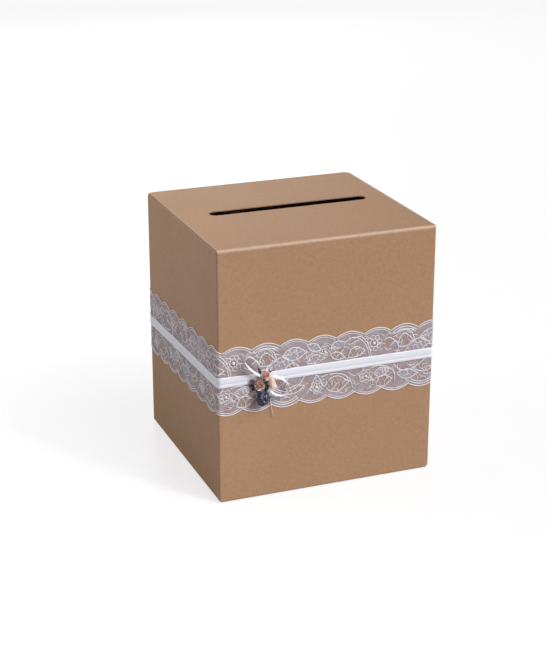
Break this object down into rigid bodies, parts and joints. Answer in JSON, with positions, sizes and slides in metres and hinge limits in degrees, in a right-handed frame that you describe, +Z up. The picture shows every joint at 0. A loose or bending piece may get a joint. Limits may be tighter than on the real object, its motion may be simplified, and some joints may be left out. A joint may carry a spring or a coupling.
{
  "type": "wedding card box",
  "caption": "Square kraft board box with a card slot in its tuck-in lid, a scalloped lace band, a satin ribbon and a small posy of paper roses.",
  "frame": {"origin": "middle of the base, on the surface that the box stands on", "axes": "+Z up, -Y out of the front wall that carries the posy, +X to the right seen from the front"},
  "size_m": [0.256, 0.2565, 0.29],
  "materials": {
    "kraft_board": "satin printed kraft board with fine fibre speckle",
    "kraft_inside": "uncoated inner face of the board",
    "lace": "white machine lace with corded outlines",
    "satin": "white satin",
    "tape": "double-sided tape",
    "glue": "dried glue",
    "rose_paper": "folded paper in peach and pink",
    "bud_paper": "folded cream paper",
    "berry_glitter": "foam berry under dusty blue and lilac glitter",
    "sprig_fabric": "dark plum fabric",
    "leaf_fabric": "dark green fabric leaf",
    "stem_tape": "wire wrapped in green paper tape",
    "thread": "waxed beige thread"
  },
  "bodies": {
    "carton": {"front_wall": "kraft_board", "left_wall": "kraft_board", "right_wall": "kraft_board", "back_wall": "kraft_board", "glue_flap": "kraft_inside", "seam_glue": "glue", "base_flap_front": "kraft_board", "base_flap_back": "kraft_board", "base_flap_left": "kraft_inside", "base_flap_right": "kraft_inside", "lace_band": "lace", "satin_ribbon": "satin", "lace_tape": "tape", "ribbon_tape": "tape", "bow_loop_left": "satin", "bow_loop_right": "satin", "bow_knot": "satin", "ribbon_curl": "satin", "posy_glue": "glue", "rose_upper": "rose_paper", "rose_lower": "rose_paper", "rose_bud": "bud_paper", "glitter_berry": "berry_glitter", "posy_sprig": "sprig_fabric", "posy_leaves": "leaf_fabric", "stem_wires": "stem_tape", "thread_tail": "thread"},
    "lid": {"lid_panel": "kraft_board"},
    "tuck": {"tuck_flap": "kraft_board"},
    "dust_left": {"dust_flap_left": "kraft_inside"},
    "dust_right": {"dust_flap_right": "kraft_inside"}
  },
  "joints": [
    {"name": "lid_crease", "type": "hinge", "parent": "carton", "child": "lid", "pos_m": [0, -0.1179, 0.29], "axis": [1, 0, 0], "range_deg": [0, 180]},
    {"name": "tuck_crease", "type": "hinge", "parent": "lid", "child": "tuck", "pos_m": [0, 0.1163, 0.29], "axis": [1, 0, 0], "range_deg": [0, 45]},
    {"name": "dust_left_crease", "type": "hinge", "parent": "carton", "child": "dust_left", "pos_m": [-0.1244, 0, 0.2888], "axis": [0, -1, 0], "range_deg": [0, 90]},
    {"name": "dust_right_crease", "type": "hinge", "parent": "carton", "child": "dust_right", "pos_m": [0.1244, 0, 0.2888], "axis": [0, 1, 0], "range_deg": [0, 90]}
  ],
  "couplings": [
    {"joint": "tuck_crease", "follows": "lid_crease", "ratio": 0.25},
    {"joint": "dust_left_crease", "follows": "lid_crease", "ratio": 0.5},
    {"joint": "dust_right_crease", "follows": "lid_crease", "ratio": 0.5}
  ]
}
